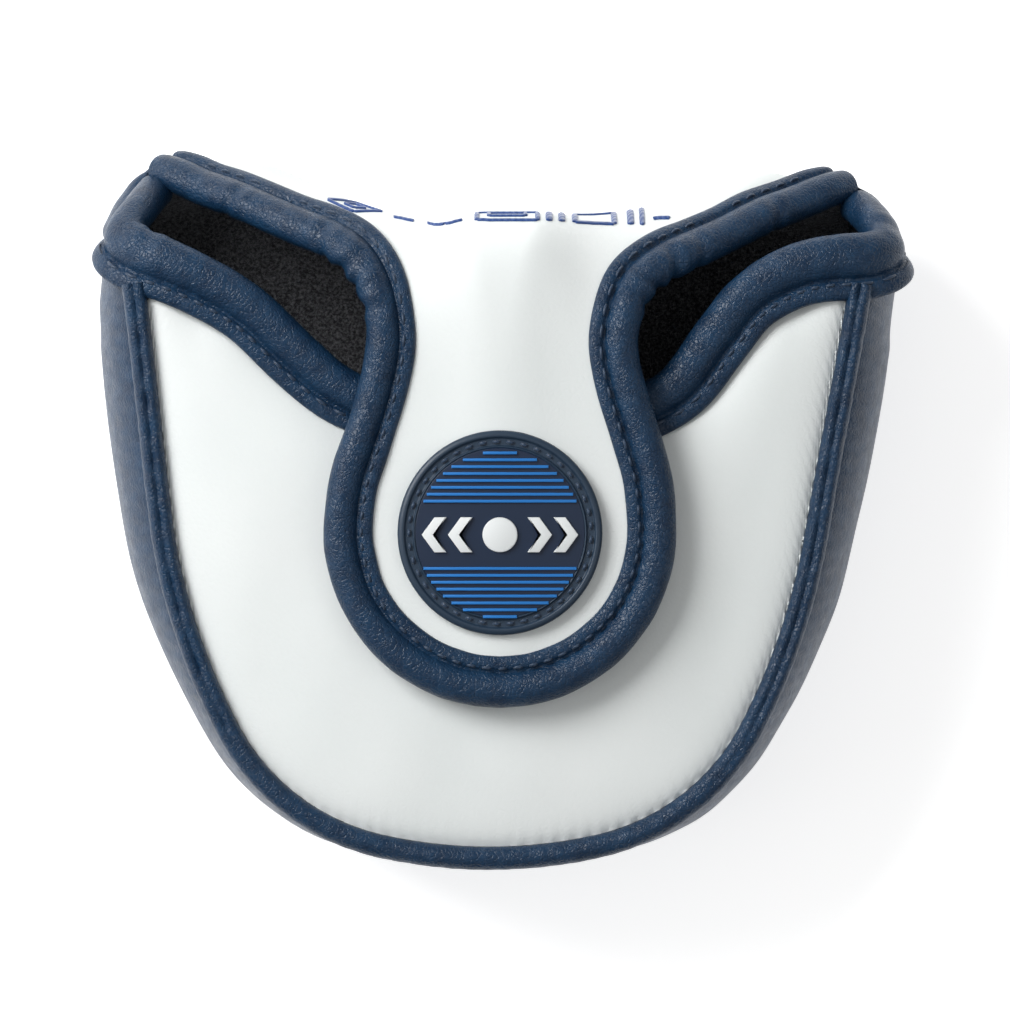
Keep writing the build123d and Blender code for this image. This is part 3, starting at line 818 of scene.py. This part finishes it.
def build_piping(settings):
    """Cord of the front seam, pinched into a valley towards the corners, and the thinner one at the back."""
    paint = finishes()
    size = settings.piping_radius
    count = int(settings.fineness * 900)
    path = np.c_[u_curve(PANEL_BOTTOM, PANEL_ARCS, -size, 41.0, count), np.full(count, PIPING_Z - 0.4)]
    _, normal, side = frames(path, np.tile(UP, (len(path), 1)))
    place = chord_places(path)
    share = np.abs(place / place[-1] - 0.5) * 2
    notch = 0.34 * smoothstep((share - 0.22) / 0.3) * (1 + 0.25 * ripple(place[:, None], 5, 5, 5.0, 15.0))
    profile = piping_section(40, notch) * size
    spots = np.concatenate([np.repeat(place[:, None, None], 40, axis=1), profile], axis=2)
    profile = profile * (1 + 0.012 * ripple(spots, 8, 10, 2.4, 6.5))[..., None]
    profile = profile * (1 + 0.010 * np.sin(place * (2 * math.pi / 3.2)))[:, None, None]
    cord = make_piece("front_piping_cord", sweep(path, side, normal, profile),
                      paint["navy_roll"])
    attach(cord, "pouch")
    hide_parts("front_piping")
    _, back = band_edges(int(settings.fineness * 700))
    back = back + np.array([0.0, 0.0, 0.2])
    _, normal, side = frames(back, np.tile(DOWN, (len(back), 1)))
    profile = np.repeat(piping_section(24, np.zeros(1)), len(back), axis=0) * 1.35
    cord = make_piece("back_piping_cord", sweep(back, side, normal, profile),
                      paint["navy_roll"])
    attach(cord, "pouch")
    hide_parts("back_piping")


def roll_shape(path, normals, width, height, flange, seed, crinkle, creases):
    """Directions and sections of a padded binding along a path, ready to be cut into lengths."""
    _, normal, side = frames(path, normals)
    base = roll_profile(ROLL_HALF_WIDTH, height, flange)
    profile = crumple(path, base, seed, crinkle, creases)
    grow = (width / ROLL_HALF_WIDTH)[:, None]
    profile = profile * np.stack([grow, np.ones_like(grow)], axis=-1)
    return side, normal, profile


def build_mouth(settings):
    """Padded edge of the mouth from corner to corner, with its seam."""
    paint = finishes()
    path, normals, width = mouth_path(int(settings.fineness * 640))
    creases = [(13, 1.6, 0.5, 1.2), (173, 1.5, 0.5, -1.0)]
    side, normal, profile = roll_shape(path, normals, width, MOUTH_ROLL_HEIGHT, settings.flange, 61,
                                       settings.crinkle, creases)
    roll = make_piece("mouth_roll", sweep(path, side, normal, profile), paint["navy_roll"])
    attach(roll, "pouch")
    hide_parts("mouth_collar", "collar_core", "collar_flange", "corner_binding_left",
                "corner_binding_right")
    seam = stitches(path, side, normal, SEAM_ACROSS * width - 0.02, SEAM_UP, STITCH_PITCH, STITCH_LENGTH,
                    STITCH_RADIUS, 12.0)
    sewn = make_piece("mouth_stitching", seam, paint["navy_thread"])
    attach(sewn, "pouch")
    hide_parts("collar_stitches")


def build_edge(settings):
    """Padded edge of the shoulders, the neck and the flap: one swept roll, cut where the sheets are cut."""
    paint = finishes()
    count = int(settings.fineness * 1050)
    whole = edge_path(count)
    path, normals = whole[:, :3], unit(whole[:, 3:])
    place = chord_places(path)
    length = place[-1]
    creases = [(46, 1.4, 1.0, 1.6), (50.5, 1.1, 0.9, -1.0), (56, 1.3, 0.8, 1.2), (40, 1.3, 0.6, -1.4),
               (length - 42, 1.3, 1.0, 1.2), (length - 47, 1.1, 0.9, -1.2), (length - 52, 1.3, 0.8, 1.0),
               (length - 36, 1.2, 0.5, 1.2), (18, 1.2, 0.5, 1.0), (length - 18, 1.2, 0.5, 1.0)]
    side_run = np.minimum(place, length - place)
    width = 3.15 + 0.5 * smoothstep((58.0 - side_run) / 20.0)
    width = width + 0.15 * smoothstep((side_run - 110.0) / 25.0)
    ends = smoothstep(side_run / 7.0)
    side, normal, profile = roll_shape(path, normals, width, settings.roll_height, settings.flange, 83,
                                       settings.crinkle, creases)
    profile = profile * (0.88 + 0.12 * ends)[:, None, None]
    table, crest = sheet_rows(900)
    cut = np.argmin(np.abs(crest - SPLIT_ROW))
    left = np.argmin(np.linalg.norm(path[:count // 2] - table[cut, 0:3], axis=1))
    right = count // 2 + np.argmin(np.linalg.norm(path[count // 2:] - table[cut, 3:6], axis=1))
    for name, part, bend in (("edge_roll_left", slice(0, left + 1), "left"),
                             ("edge_roll_right", slice(right, None), "right"),
                             ("flap_roll", slice(left, right + 1), None)):
        run = sweep(path[part], side[part], normal[part], profile[part])
        roll = make_piece(name, run, paint["navy_roll"])
        bend_piece(roll, bend)
        skip = 7.0 if bend else 1.0
        seam = stitches(path[part], side[part], normal[part], SEAM_ACROSS * width[part], SEAM_UP,
                        STITCH_PITCH, STITCH_LENGTH, STITCH_RADIUS, skip)
        sewn = make_piece(name.replace("roll", "stitching"), seam, paint["navy_thread"])
        bend_piece(sewn, bend)
    for side_name in ("left", "right"):
        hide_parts("shoulder_binding_" + side_name,
                    "neck_binding_" + side_name)
    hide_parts("flap_binding", "flap_core")
    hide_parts("flap_stitches")


# ------------------------------------------------------------------ patch and embroidery

def lathe(profile, centre, segments=192):
    """Turns a closed (radius, height) outline round the upright line through the centre."""
    turn = np.linspace(0, 2 * math.pi, segments, endpoint=False)
    ring = np.stack([np.cos(turn), np.sin(turn), np.zeros(segments)], axis=-1)
    p = np.asarray(profile, float)
    grid = p[:, 0, None, None] * ring[None] + (p[:, 1, None, None] * UP)
    grid = grid + np.array([*centre, 0.0])
    return [(grid.reshape(-1, 3), grid_faces(len(p), segments, wrap_cols=True))]


def rounded(corners, radii, steps=5):
    """Outline in the (radius, height) plane with its corners rounded by short arcs."""
    c = [np.array(p, float) for p in corners]
    out = [c[0]]
    for before, here, after, size in zip(c[:-2], c[1:-1], c[2:], radii):
        a, b = here + unit(before - here) * size, here + unit(after - here) * size
        for t in np.linspace(0, 1, steps):
            out.append((1 - t) ** 2 * a + 2 * t * (1 - t) * here + t ** 2 * b)
    return out + [c[-1]]


def inward(direction, turn):
    """Sideways unit directions, to the inside of an outline that runs the way given by turn."""
    d = unit(direction)
    return np.stack([-d[:, 1], d[:, 0]], axis=1) * turn


def prism(outline, bottom, top, bevel):
    """Closed raised shape over a plan outline, narrowed by the bevel at its upper edge."""
    plan = np.asarray(outline, float)
    ahead, behind = np.roll(plan, -1, axis=0) - plan, plan - np.roll(plan, 1, axis=0)
    area = np.sum(plan[:, 0] * np.roll(plan[:, 1], -1) - np.roll(plan[:, 0], -1) * plan[:, 1])
    turn = np.sign(area)
    pull = inward(ahead, turn) + inward(behind, turn)
    pull = pull / np.maximum(np.sum(pull * inward(ahead, turn), axis=1, keepdims=True), 0.35)
    rings = [(0.0, bottom), (0.0, top - bevel), (0.3 * bevel, top - 0.3 * bevel), (bevel, top)]
    grid = np.array([np.c_[plan + pull * shrink, np.full(len(plan), z)] for shrink, z in rings])
    count = len(plan)
    middle = np.array([np.c_[np.repeat((plan + pull * bevel).mean(0)[None], count, 0), np.full(count, top)]])
    under = np.array([np.c_[np.repeat(plan.mean(0)[None], count, 0), np.full(count, bottom)]])
    grid = np.concatenate([under, grid, middle])
    return grid.reshape(-1, 3), grid_faces(len(grid), count, wrap_cols=True)


def build_patch(settings):
    """Round moulded patch: a stitched rim, a sunk field of fine bars, and a raised generic mark."""
    paint = finishes()
    z = settings.patch_level
    centre = (0.0, PATCH_Y)
    rim = rounded([(0, z - 1.4), (PATCH_RADIUS, z - 1.4), (PATCH_RADIUS, z + 1.3), (17.3, z + 1.55),
                   (16.95, z + 1.0), (15.75, z + 1.0), (15.45, z + 1.5), (15.1, z + 1.1), (0, z + 1.1)],
                  [0.2, 0.7, 0.3, 0.12, 0.12, 0.15, 0.1])
    base = make_piece("patch_rim", lathe(rim, centre), paint["navy_rubber"])
    field = rounded([(0, z + 0.6), (FIELD_RADIUS, z + 0.6), (FIELD_RADIUS, z + 1.3), (0, z + 1.3)],
                    [0.1, 0.15])
    disc = make_piece("patch_field", lathe(field, centre, 128), paint["deep_rubber"])
    parts = []
    for i in range(BARS_PER_SIDE):
        for way in (1, -1):
            y = way * (BAR_START + BAR_PITCH * i) + FIELD_SHIFT
            half = math.sqrt(BAR_REACH ** 2 - (y - FIELD_SHIFT) ** 2)
            low, high = y - BAR_HALF_WIDTH, y + BAR_HALF_WIDTH
            outline = [(-half, low), (half, low), (half, high), (-half, high)]
            outline = [(px, py + PATCH_Y) for px, py in outline]
            parts.append(prism(outline, z + 1.1, z + 1.75, 0.12))
    bars = make_piece("patch_lines", parts, paint["blue_rubber"], sharp=30)
    mark = make_piece("patch_mark", mark_parts(z), paint["white_rubber"], sharp=30)
    ring = np.linspace(0, 2 * math.pi, 400)
    plan = np.c_[PATCH_SEAM_RADIUS * np.cos(ring), PATCH_SEAM_RADIUS * np.sin(ring) + PATCH_Y]
    path = np.c_[plan, np.full(400, z)]
    _, normal, side = frames(path, np.tile(UP, (400, 1)))
    sewn = make_piece("patch_stitching", stitches(path, side, normal, 0.0, 1.3, 2.45, 1.75, 0.30),
                      paint["navy_thread"])
    for piece, node in ((base, "patch_base"), (disc, "patch_disc"), (bars, "patch_bars"),
                        (mark, "patch_motif"), (sewn, "patch_stitches")):
        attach(piece, "flap")
        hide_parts(node)


def mark_parts(z):
    """Generic mark: a ball between two pairs of chevrons."""
    y = PATCH_Y + FIELD_SHIFT
    turn = np.linspace(0, 2 * math.pi, 49)[:-1]
    parts = [prism(np.stack([3.15 * np.cos(turn), 3.15 * np.sin(turn) + y], axis=1), z + 1.2, z + 2.0, 0.3)]
    for way in (1, -1):
        for x in (4.9, 9.6):
            tip, arm, thick = 2.3, 3.15, 2.15
            points = [(x, arm), (x + thick, arm), (x + thick + tip, 0), (x + thick, -arm), (x, -arm),
                      (x + tip, 0)]
            parts.append(prism([(way * px, py + y) for px, py in points], z + 1.2, z + 1.95, 0.16))
    return parts


# Embroidered figures on the crest: open or closed lines of (x, distance from the front edge), and a width
FIGURES = (
    (((-31.5, 4.0), (-26.5, 0.6), (-21.5, 4.0), (-26.5, 7.6), (-31.5, 4.0)), 0.8),
    (((-28.5, 4.0), (-26.5, 2.6), (-24.5, 4.0), (-26.5, 5.4), (-28.5, 4.0)), 0.7),
    (((-19.4, 1.2), (-15.6, 1.2)), 1.2),
    (((-13.2, 1.2), (-10.0, 0.4), (-6.8, 1.2)), 0.9),
    (((-4.2, 0.0), (6.8, 0.0), (6.8, 8.0), (-4.2, 8.0), (-4.2, 0.0)), 0.9),
    (((-2.0, 2.4), (4.6, 2.4), (4.6, 5.6), (-2.0, 5.6), (-2.0, 2.4)), 0.8),
    (((8.9, 0.0), (8.9, 8.0)), 1.3), (((11.2, 0.0), (11.2, 8.0)), 1.3),
    (((13.6, 0.0), (20.8, 0.0), (20.8, 8.0), (13.6, 8.0), (13.6, 0.0)), 1.1),
    (((23.8, 0.0), (23.8, 8.0)), 1.3), (((25.9, 0.0), (25.9, 8.0)), 1.0),
    (((27.9, 1.6), (31.0, 1.2)), 0.9),
)

# Where the figures begin on the crest: (x, y) of their front edge
FRONT_EDGE = ((-32.0, 54.6), (-22.0, 53.4), (-17.0, 52.3), (-12.0, 51.2), (-7.0, 51.8), (-4.0, 52.4),
              (7.0, 52.3), (14.0, 52.2), (26.0, 51.9), (31.0, 52.4))


def between(values, i, j, a, b):
    """Grid values at the fractions a and b of the way on from row i and column j."""
    near = values[i, j] * (1 - b) + values[i, j + 1] * b
    far = values[i + 1, j] * (1 - b) + values[i + 1, j + 1] * b
    return near * (1 - a) + far * a


def on_crest(zone, normal, down, x, w, lift):
    """Points of the sheet at a given x and distance behind the figures' front edge, read between the
    grid's points. The edge is where the sheet first reaches the y given for that x."""
    spots = np.linspace(-33.0, 33.0, 67)
    half = (zone.shape[1] - 1) // 2
    starts = []
    for spot in spots:
        reach = zone[:, 0, 0] if spot < 0 else zone[:, -1, 0]
        col = np.clip(half * (1 + spot / np.abs(reach)), 0, 2 * half).astype(int)
        behind = zone[np.arange(len(zone)), col, 1] > np.interp(spot, *np.array(FRONT_EDGE).T)
        starts.append(down[int(np.argmax(behind))])
    w = w + np.interp(x, spots, starts)
    row = np.clip(np.interp(w, down, np.arange(len(down))), 0, len(zone) - 1.001)
    reach = np.where(x < 0, -np.interp(row, np.arange(len(zone)), zone[:, 0, 0]),
                     np.interp(row, np.arange(len(zone)), zone[:, -1, 0]))
    col = np.clip(half * (1 + x / reach), 0, 2 * half - 0.001)
    i, j = row.astype(int), col.astype(int)
    a, b = (row - i)[..., None], (col - j)[..., None]
    return between(zone, i, j, a, b) + between(normal, i, j, a, b) * lift[..., None]


def build_embroidery(settings):
    """Raised satin figures on the crest: each line is drawn across and down the sheet and swept with a low
    oval section that rides on the surface."""
    paint = finishes()
    grid, _ = sheet_grid(900, 401)
    zone, normal = grid[::-1], grid_normals(grid)[::-1]
    crest_y = zone[:, 200, 1]
    first = int(np.argmax(crest_y > settings.embroidery_y))
    zone, normal = zone[first:first + 330], normal[first:first + 330]
    down = chord_places(zone[:, 200])
    ring = np.linspace(0, 2 * math.pi, 13)[:-1]
    parts = []
    for line, width in FIGURES:
        for a, b in zip(np.array(line[:-1]), np.array(line[1:])):
            count = int(np.linalg.norm(b - a) / 0.22) + 3
            t = np.linspace(0, 1, count)[:, None]
            across = unit((b - a)[::-1] * [1, -1])
            reach = (width / 2) * np.sqrt(np.clip(1 - (2 * t[:, 0] - 1) ** 30, 0.02, 1))
            plan = (a * (1 - t) + b * t)[:, None] + across * (reach[:, None] * np.cos(ring))[..., None]
            lift = np.broadcast_to(0.34 * np.sin(ring) + 0.06, plan.shape[:2])
            tube = on_crest(zone, normal, down, plan[..., 0], plan[..., 1], lift)
            caps = [np.repeat(tube[k].mean(0)[None], len(ring), 0)[None] for k in (0, -1)]
            tube = np.concatenate([caps[0], tube, caps[1]])
            parts.append((tube.reshape(-1, 3), grid_faces(*tube.shape[:2], wrap_cols=True)))
    piece = make_piece("crest_embroidery", parts, paint["embroidery"])
    bend_piece(piece)
    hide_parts("neck_embroidery")


# ------------------------------------------------------------------ stage

def math_node(tree, operation, a, b):
    """A value joined with a number by one sum."""
    node = tree.nodes.new("ShaderNodeMath")
    node.operation = operation
    tree.links.new(a, node.inputs[0])
    node.inputs[1].default_value = b
    return node.outputs["Value"]


def light_sky(tree, settings):
    """Even light from all round, stronger from the side of the main light and weaker opposite to it."""
    towards = tree.nodes.new("ShaderNodeVectorMath")
    towards.operation = "DOT_PRODUCT"
    tree.links.new(tree.nodes.new("ShaderNodeTexCoord").outputs["Generated"], towards.inputs[0])
    towards.inputs[1].default_value = (-0.62, 0.55, 0.56)
    share = math_node(tree, "MULTIPLY", towards.outputs["Value"], settings.sky_slope)
    share = math_node(tree, "MAXIMUM", math_node(tree, "ADD", share, 1.0), 0.05)
    strength = math_node(tree, "MULTIPLY", share, settings.sky)
    tree.links.new(strength, tree.nodes["Background"].inputs["Strength"])


def build_stage(settings):
    """Pale floor, soft lights and a long lens straight above."""
    scene = bpy.context.scene
    scene.view_settings.view_transform = "Standard"
    bpy.ops.mesh.primitive_plane_add(size=8.0, location=(0.0, 0.0, -0.0004))
    floor = bpy.context.object
    floor.name = "floor"
    cover = Shader("floor", (0.93, 0.93, 0.93), 0.9, Specular_IOR_Level=0.0)
    cover.set("Emission Color", (1.0, 1.0, 1.0, 1.0))
    cover.set("Emission Strength", settings.floor_glow)
    floor.data.materials.append(cover.finish())
    world = bpy.data.worlds.new("studio")
    world.use_nodes = True
    world.node_tree.nodes["Background"].inputs["Color"].default_value = (1.0, 1.0, 1.0, 1.0)
    light_sky(world.node_tree, settings)
    scene.world = world
    for name, place, size, share in LIGHTS:
        data = bpy.data.lights.new(name, "AREA")
        data.size, data.energy = size, settings.key * share
        light = bpy.data.objects.new(name, data)
        light.location = place
        light.rotation_euler = (-Vector(place)).to_track_quat("-Z", "Y").to_euler()
        scene.collection.objects.link(light)
    lens = bpy.data.cameras.new("camera")
    lens.sensor_width, lens.lens = SENSOR_MM, LENS_MM
    camera = bpy.data.objects.new("camera", lens)
    camera.location = CAMERA_PLACE
    scene.collection.objects.link(camera)
    scene.camera = camera


# ------------------------------------------------------------------ add-on

class CoverSettings(bpy.types.PropertyGroup):
    """Sizes of the padded pieces, in millimetres."""
    fineness: FloatProperty(name="Fineness", description="Mesh density, as a share of the full one",
                            default=1.0, min=0.3, max=1.5, subtype="FACTOR")
    leather_foam: FloatProperty(name="Leather and foam", description="Thickness outside the lining",
                                default=2.6)
    fleece: FloatProperty(name="Fleece", description="Thickness of the lining's pile", default=1.7)
    side_bulge: FloatProperty(name="Side bulge", description="How far the side band swells", default=7.8)
    piping_radius: FloatProperty(name="Piping radius", description="Radius of the front cord", default=2.1)
    roll_height: FloatProperty(name="Roll height", description="Half height of the padded edge", default=3.1)
    flange: FloatProperty(name="Flange", description="Sewn strip beside the roll", default=2.6)
    crinkle: FloatProperty(name="Crinkle", description="Depth of the folds on a roll", default=0.03)


class StageSettings(bpy.types.PropertyGroup):
    """Light of the studio."""
    key: FloatProperty(name="Key light", description="Power of the main light", default=5.0,
                       unit="POWER")
    floor_glow: FloatProperty(name="Floor glow", description="Light of the floor itself", default=0.62)
    sky_slope: FloatProperty(name="Sky slope", description="How one-sided the even light is", default=0.9)
    sky: FloatProperty(name="Sky", description="Strength of the even light from all round", default=0.2)


class PatchSettings(bpy.types.PropertyGroup):
    """Place of the moulded patch."""
    fineness: FloatProperty(name="Fineness", description="Mesh density", default=1.0, min=0.3, max=1.5,
                            subtype="FACTOR")
    embroidery_y: FloatProperty(name="Embroidery", description="Y of its front edge on the centre line",
                                default=40.0)
    patch_level: FloatProperty(name="Level", description="Height of the leather under the patch",
                               default=47.9)


class COVER_OT_sheets(bpy.types.Operator):
    """Leather, foam and fleece of the back, the neck and the flap"""
    bl_idname = "cover.sheets"
    bl_label = "Cover sheets"

    def execute(self, context):
        build_sheets(context.scene.cover_shape)
        return {"FINISHED"}


class COVER_OT_front(bpy.types.Operator):
    """Leather, foam and fleece of the front"""
    bl_idname = "cover.front"
    bl_label = "Front panel"

    def execute(self, context):
        build_front(context.scene.cover_shape)
        return {"FINISHED"}


class COVER_OT_side(bpy.types.Operator):
    """Gathered side band with its lining"""
    bl_idname = "cover.side"
    bl_label = "Side band"

    def execute(self, context):
        build_side(context.scene.cover_shape)
        return {"FINISHED"}


class COVER_OT_piping(bpy.types.Operator):
    """Cords of the front and the back seam"""
    bl_idname = "cover.piping"
    bl_label = "Piping"

    def execute(self, context):
        build_piping(context.scene.cover_shape)
        return {"FINISHED"}


class COVER_OT_mouth(bpy.types.Operator):
    """Padded edge of the mouth with its stitching"""
    bl_idname = "cover.mouth"
    bl_label = "Mouth roll"

    def execute(self, context):
        build_mouth(context.scene.cover_shape)
        return {"FINISHED"}


class COVER_OT_edge(bpy.types.Operator):
    """Padded edge of the shoulders, the neck and the flap"""
    bl_idname = "cover.edge"
    bl_label = "Sheet edge"

    def execute(self, context):
        build_edge(context.scene.cover_shape)
        return {"FINISHED"}


class COVER_OT_patch(bpy.types.Operator):
    """Round moulded patch of the flap"""
    bl_idname = "cover.patch"
    bl_label = "Patch"

    def execute(self, context):
        build_patch(context.scene.cover_patch)
        return {"FINISHED"}


class COVER_OT_embroidery(bpy.types.Operator):
    """Satin figures on the crest"""
    bl_idname = "cover.embroidery"
    bl_label = "Embroidery"

    def execute(self, context):
        build_embroidery(context.scene.cover_patch)
        return {"FINISHED"}


class COVER_OT_stage(bpy.types.Operator):
    """Floor, lights and camera"""
    bl_idname = "cover.stage"
    bl_label = "Stage"

    def execute(self, context):
        build_stage(context.scene.cover_stage)
        return {"FINISHED"}


class COVER_PT_panel(bpy.types.Panel):
    """Settings and steps of the head cover, in the sidebar of the 3D view"""
    bl_label = "Head Cover"
    bl_space_type = "VIEW_3D"
    bl_region_type = "UI"
    bl_category = "Head Cover"

    def draw(self, context):
        for group in (context.scene.cover_shape, context.scene.cover_patch, context.scene.cover_stage):
            box = self.layout.box()
            for name in group.__annotations__:
                box.prop(group, name)
        for step in STEPS:
            self.layout.operator("cover." + step)


STEPS = ("sheets", "front", "side", "piping", "mouth", "edge", "patch", "embroidery", "stage")
CLASSES = (CoverSettings, PatchSettings, StageSettings, COVER_OT_sheets, COVER_OT_front,
           COVER_OT_side, COVER_OT_piping, COVER_OT_mouth, COVER_OT_edge, COVER_OT_patch,
           COVER_OT_embroidery, COVER_OT_stage, COVER_PT_panel)


def register():
    for cls in CLASSES:
        bpy.utils.register_class(cls)
    bpy.types.Scene.cover_shape = PointerProperty(type=CoverSettings)
    bpy.types.Scene.cover_patch = PointerProperty(type=PatchSettings)
    bpy.types.Scene.cover_stage = PointerProperty(type=StageSettings)


def unregister():
    for name in ("cover_shape", "cover_patch", "cover_stage"):
        delattr(bpy.types.Scene, name)
    for cls in reversed(CLASSES):
        bpy.utils.unregister_class(cls)


def finish_hidden_nodes():
    """The magnets stay as they were designed, with a better finish."""
    for name in ("keeper_magnet", "flap_magnet"):
        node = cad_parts[name]
        node.data.materials.clear()
        node.data.materials.append(PAINT["magnet_steel"])


def main():
    """Builds every piece in order."""
    register()
    for step in STEPS:
        getattr(bpy.ops.cover, step)()
    finish_hidden_nodes()


if __name__ == "__main__":
    main()
